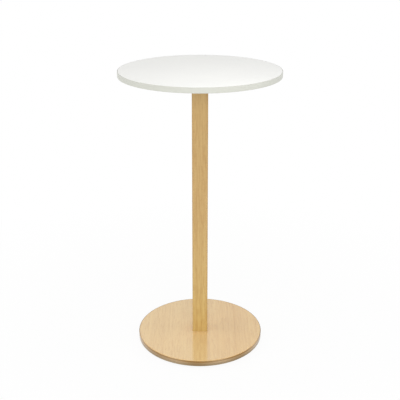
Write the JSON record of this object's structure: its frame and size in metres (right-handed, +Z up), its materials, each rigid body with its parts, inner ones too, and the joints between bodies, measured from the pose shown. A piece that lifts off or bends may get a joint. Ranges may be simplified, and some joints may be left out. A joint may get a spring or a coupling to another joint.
{
  "type": "standing meeting table",
  "caption": "Standing meeting table: a round white top on a square timber column and a round veneered base that stands on screw-in levelling glides.",
  "frame": {"origin": "on the floor, under the middle of the column", "axes": "+Z up along the column, -Y towards the front of the picture, +X to its right"},
  "size_m": [0.6, 0.6, 1.1],
  "materials": {
    "white_laminate": "satin white high-pressure laminate",
    "white_edging": "satin white edge banding",
    "board_core": "raw fibreboard",
    "column_timber": "straight-grained pale timber under clear satin lacquer",
    "plug_timber": "raw timber",
    "base_veneer": "pale veneer with fine straight grain under clear satin lacquer",
    "base_edging": "wooden edge band under clear satin lacquer",
    "black_steel": "fine black powder coat",
    "zinc_steel": "bright zinc plating",
    "black_nylon": "moulded matt black nylon"
  },
  "bodies": {
    "table": {"tabletop_laminate": "white_laminate", "tabletop_backer": "white_laminate", "tabletop_edge_band": "white_edging", "tabletop_core": "board_core", "base_core": "board_core", "column_board_front": "column_timber", "column_board_right": "column_timber", "column_board_back": "column_timber", "column_board_left": "column_timber", "column_head_plug": "plug_timber", "column_foot_plug": "plug_timber", "base_veneer": "base_veneer", "base_edge_band": "base_edging", "top_plate": "black_steel", "base_plate": "black_steel", "top_plate_nut": "zinc_steel", "tie_rod": "zinc_steel", "coupling_nut": "zinc_steel", "base_bolt": "zinc_steel", "top_plate_screw_1": "zinc_steel", "top_plate_screw_2": "zinc_steel", "top_plate_screw_3": "zinc_steel", "top_plate_screw_4": "zinc_steel", "top_plate_screw_5": "zinc_steel", "top_plate_screw_6": "zinc_steel", "top_plate_screw_7": "zinc_steel", "top_plate_screw_8": "zinc_steel", "column_screw_1": "zinc_steel", "column_screw_2": "zinc_steel", "column_screw_3": "zinc_steel", "column_screw_4": "zinc_steel", "base_plate_screw_1": "zinc_steel", "base_plate_screw_2": "zinc_steel", "base_plate_screw_3": "zinc_steel", "base_plate_screw_4": "zinc_steel", "base_plate_screw_5": "zinc_steel", "base_plate_screw_6": "zinc_steel"},
    "glide_1_pad": {"glide_pad_1": "black_nylon"},
    "glide_1_stud": {"glide_stud_1": "zinc_steel"},
    "glide_2_pad": {"glide_pad_2": "black_nylon"},
    "glide_2_stud": {"glide_stud_2": "zinc_steel"},
    "glide_3_pad": {"glide_pad_3": "black_nylon"},
    "glide_3_stud": {"glide_stud_3": "zinc_steel"},
    "glide_4_pad": {"glide_pad_4": "black_nylon"},
    "glide_4_stud": {"glide_stud_4": "zinc_steel"}
  },
  "joints": [
    {"name": "glide_1_travel", "type": "slide", "parent": "table", "child": "glide_1_pad", "axis": [0, 0, -1], "range_m": [0, 0.01]},
    {"name": "glide_1_turn", "type": "hinge", "parent": "glide_1_pad", "child": "glide_1_stud", "pos_m": [0.15061, 0.15061, 0], "axis": [0, 0, -1], "range_deg": [0, 2880]},
    {"name": "glide_2_travel", "type": "slide", "parent": "table", "child": "glide_2_pad", "axis": [0, 0, -1], "range_m": [0, 0.01]},
    {"name": "glide_2_turn", "type": "hinge", "parent": "glide_2_pad", "child": "glide_2_stud", "pos_m": [-0.15061, 0.15061, 0], "axis": [0, 0, -1], "range_deg": [0, 2880]},
    {"name": "glide_3_travel", "type": "slide", "parent": "table", "child": "glide_3_pad", "axis": [0, 0, -1], "range_m": [0, 0.01]},
    {"name": "glide_3_turn", "type": "hinge", "parent": "glide_3_pad", "child": "glide_3_stud", "pos_m": [-0.15061, -0.15061, 0], "axis": [0, 0, -1], "range_deg": [0, 2880]},
    {"name": "glide_4_travel", "type": "slide", "parent": "table", "child": "glide_4_pad", "axis": [0, 0, -1], "range_m": [0, 0.01]},
    {"name": "glide_4_turn", "type": "hinge", "parent": "glide_4_pad", "child": "glide_4_stud", "pos_m": [0.15061, -0.15061, 0], "axis": [0, 0, -1], "range_deg": [0, 2880]}
  ],
  "couplings": [
    {"joint": "glide_1_travel", "follows": "glide_1_turn", "m_per_rad": 0.00019894},
    {"joint": "glide_2_travel", "follows": "glide_2_turn", "m_per_rad": 0.00019894},
    {"joint": "glide_3_travel", "follows": "glide_3_turn", "m_per_rad": 0.00019894},
    {"joint": "glide_4_travel", "follows": "glide_4_turn", "m_per_rad": 0.00019894}
  ]
}
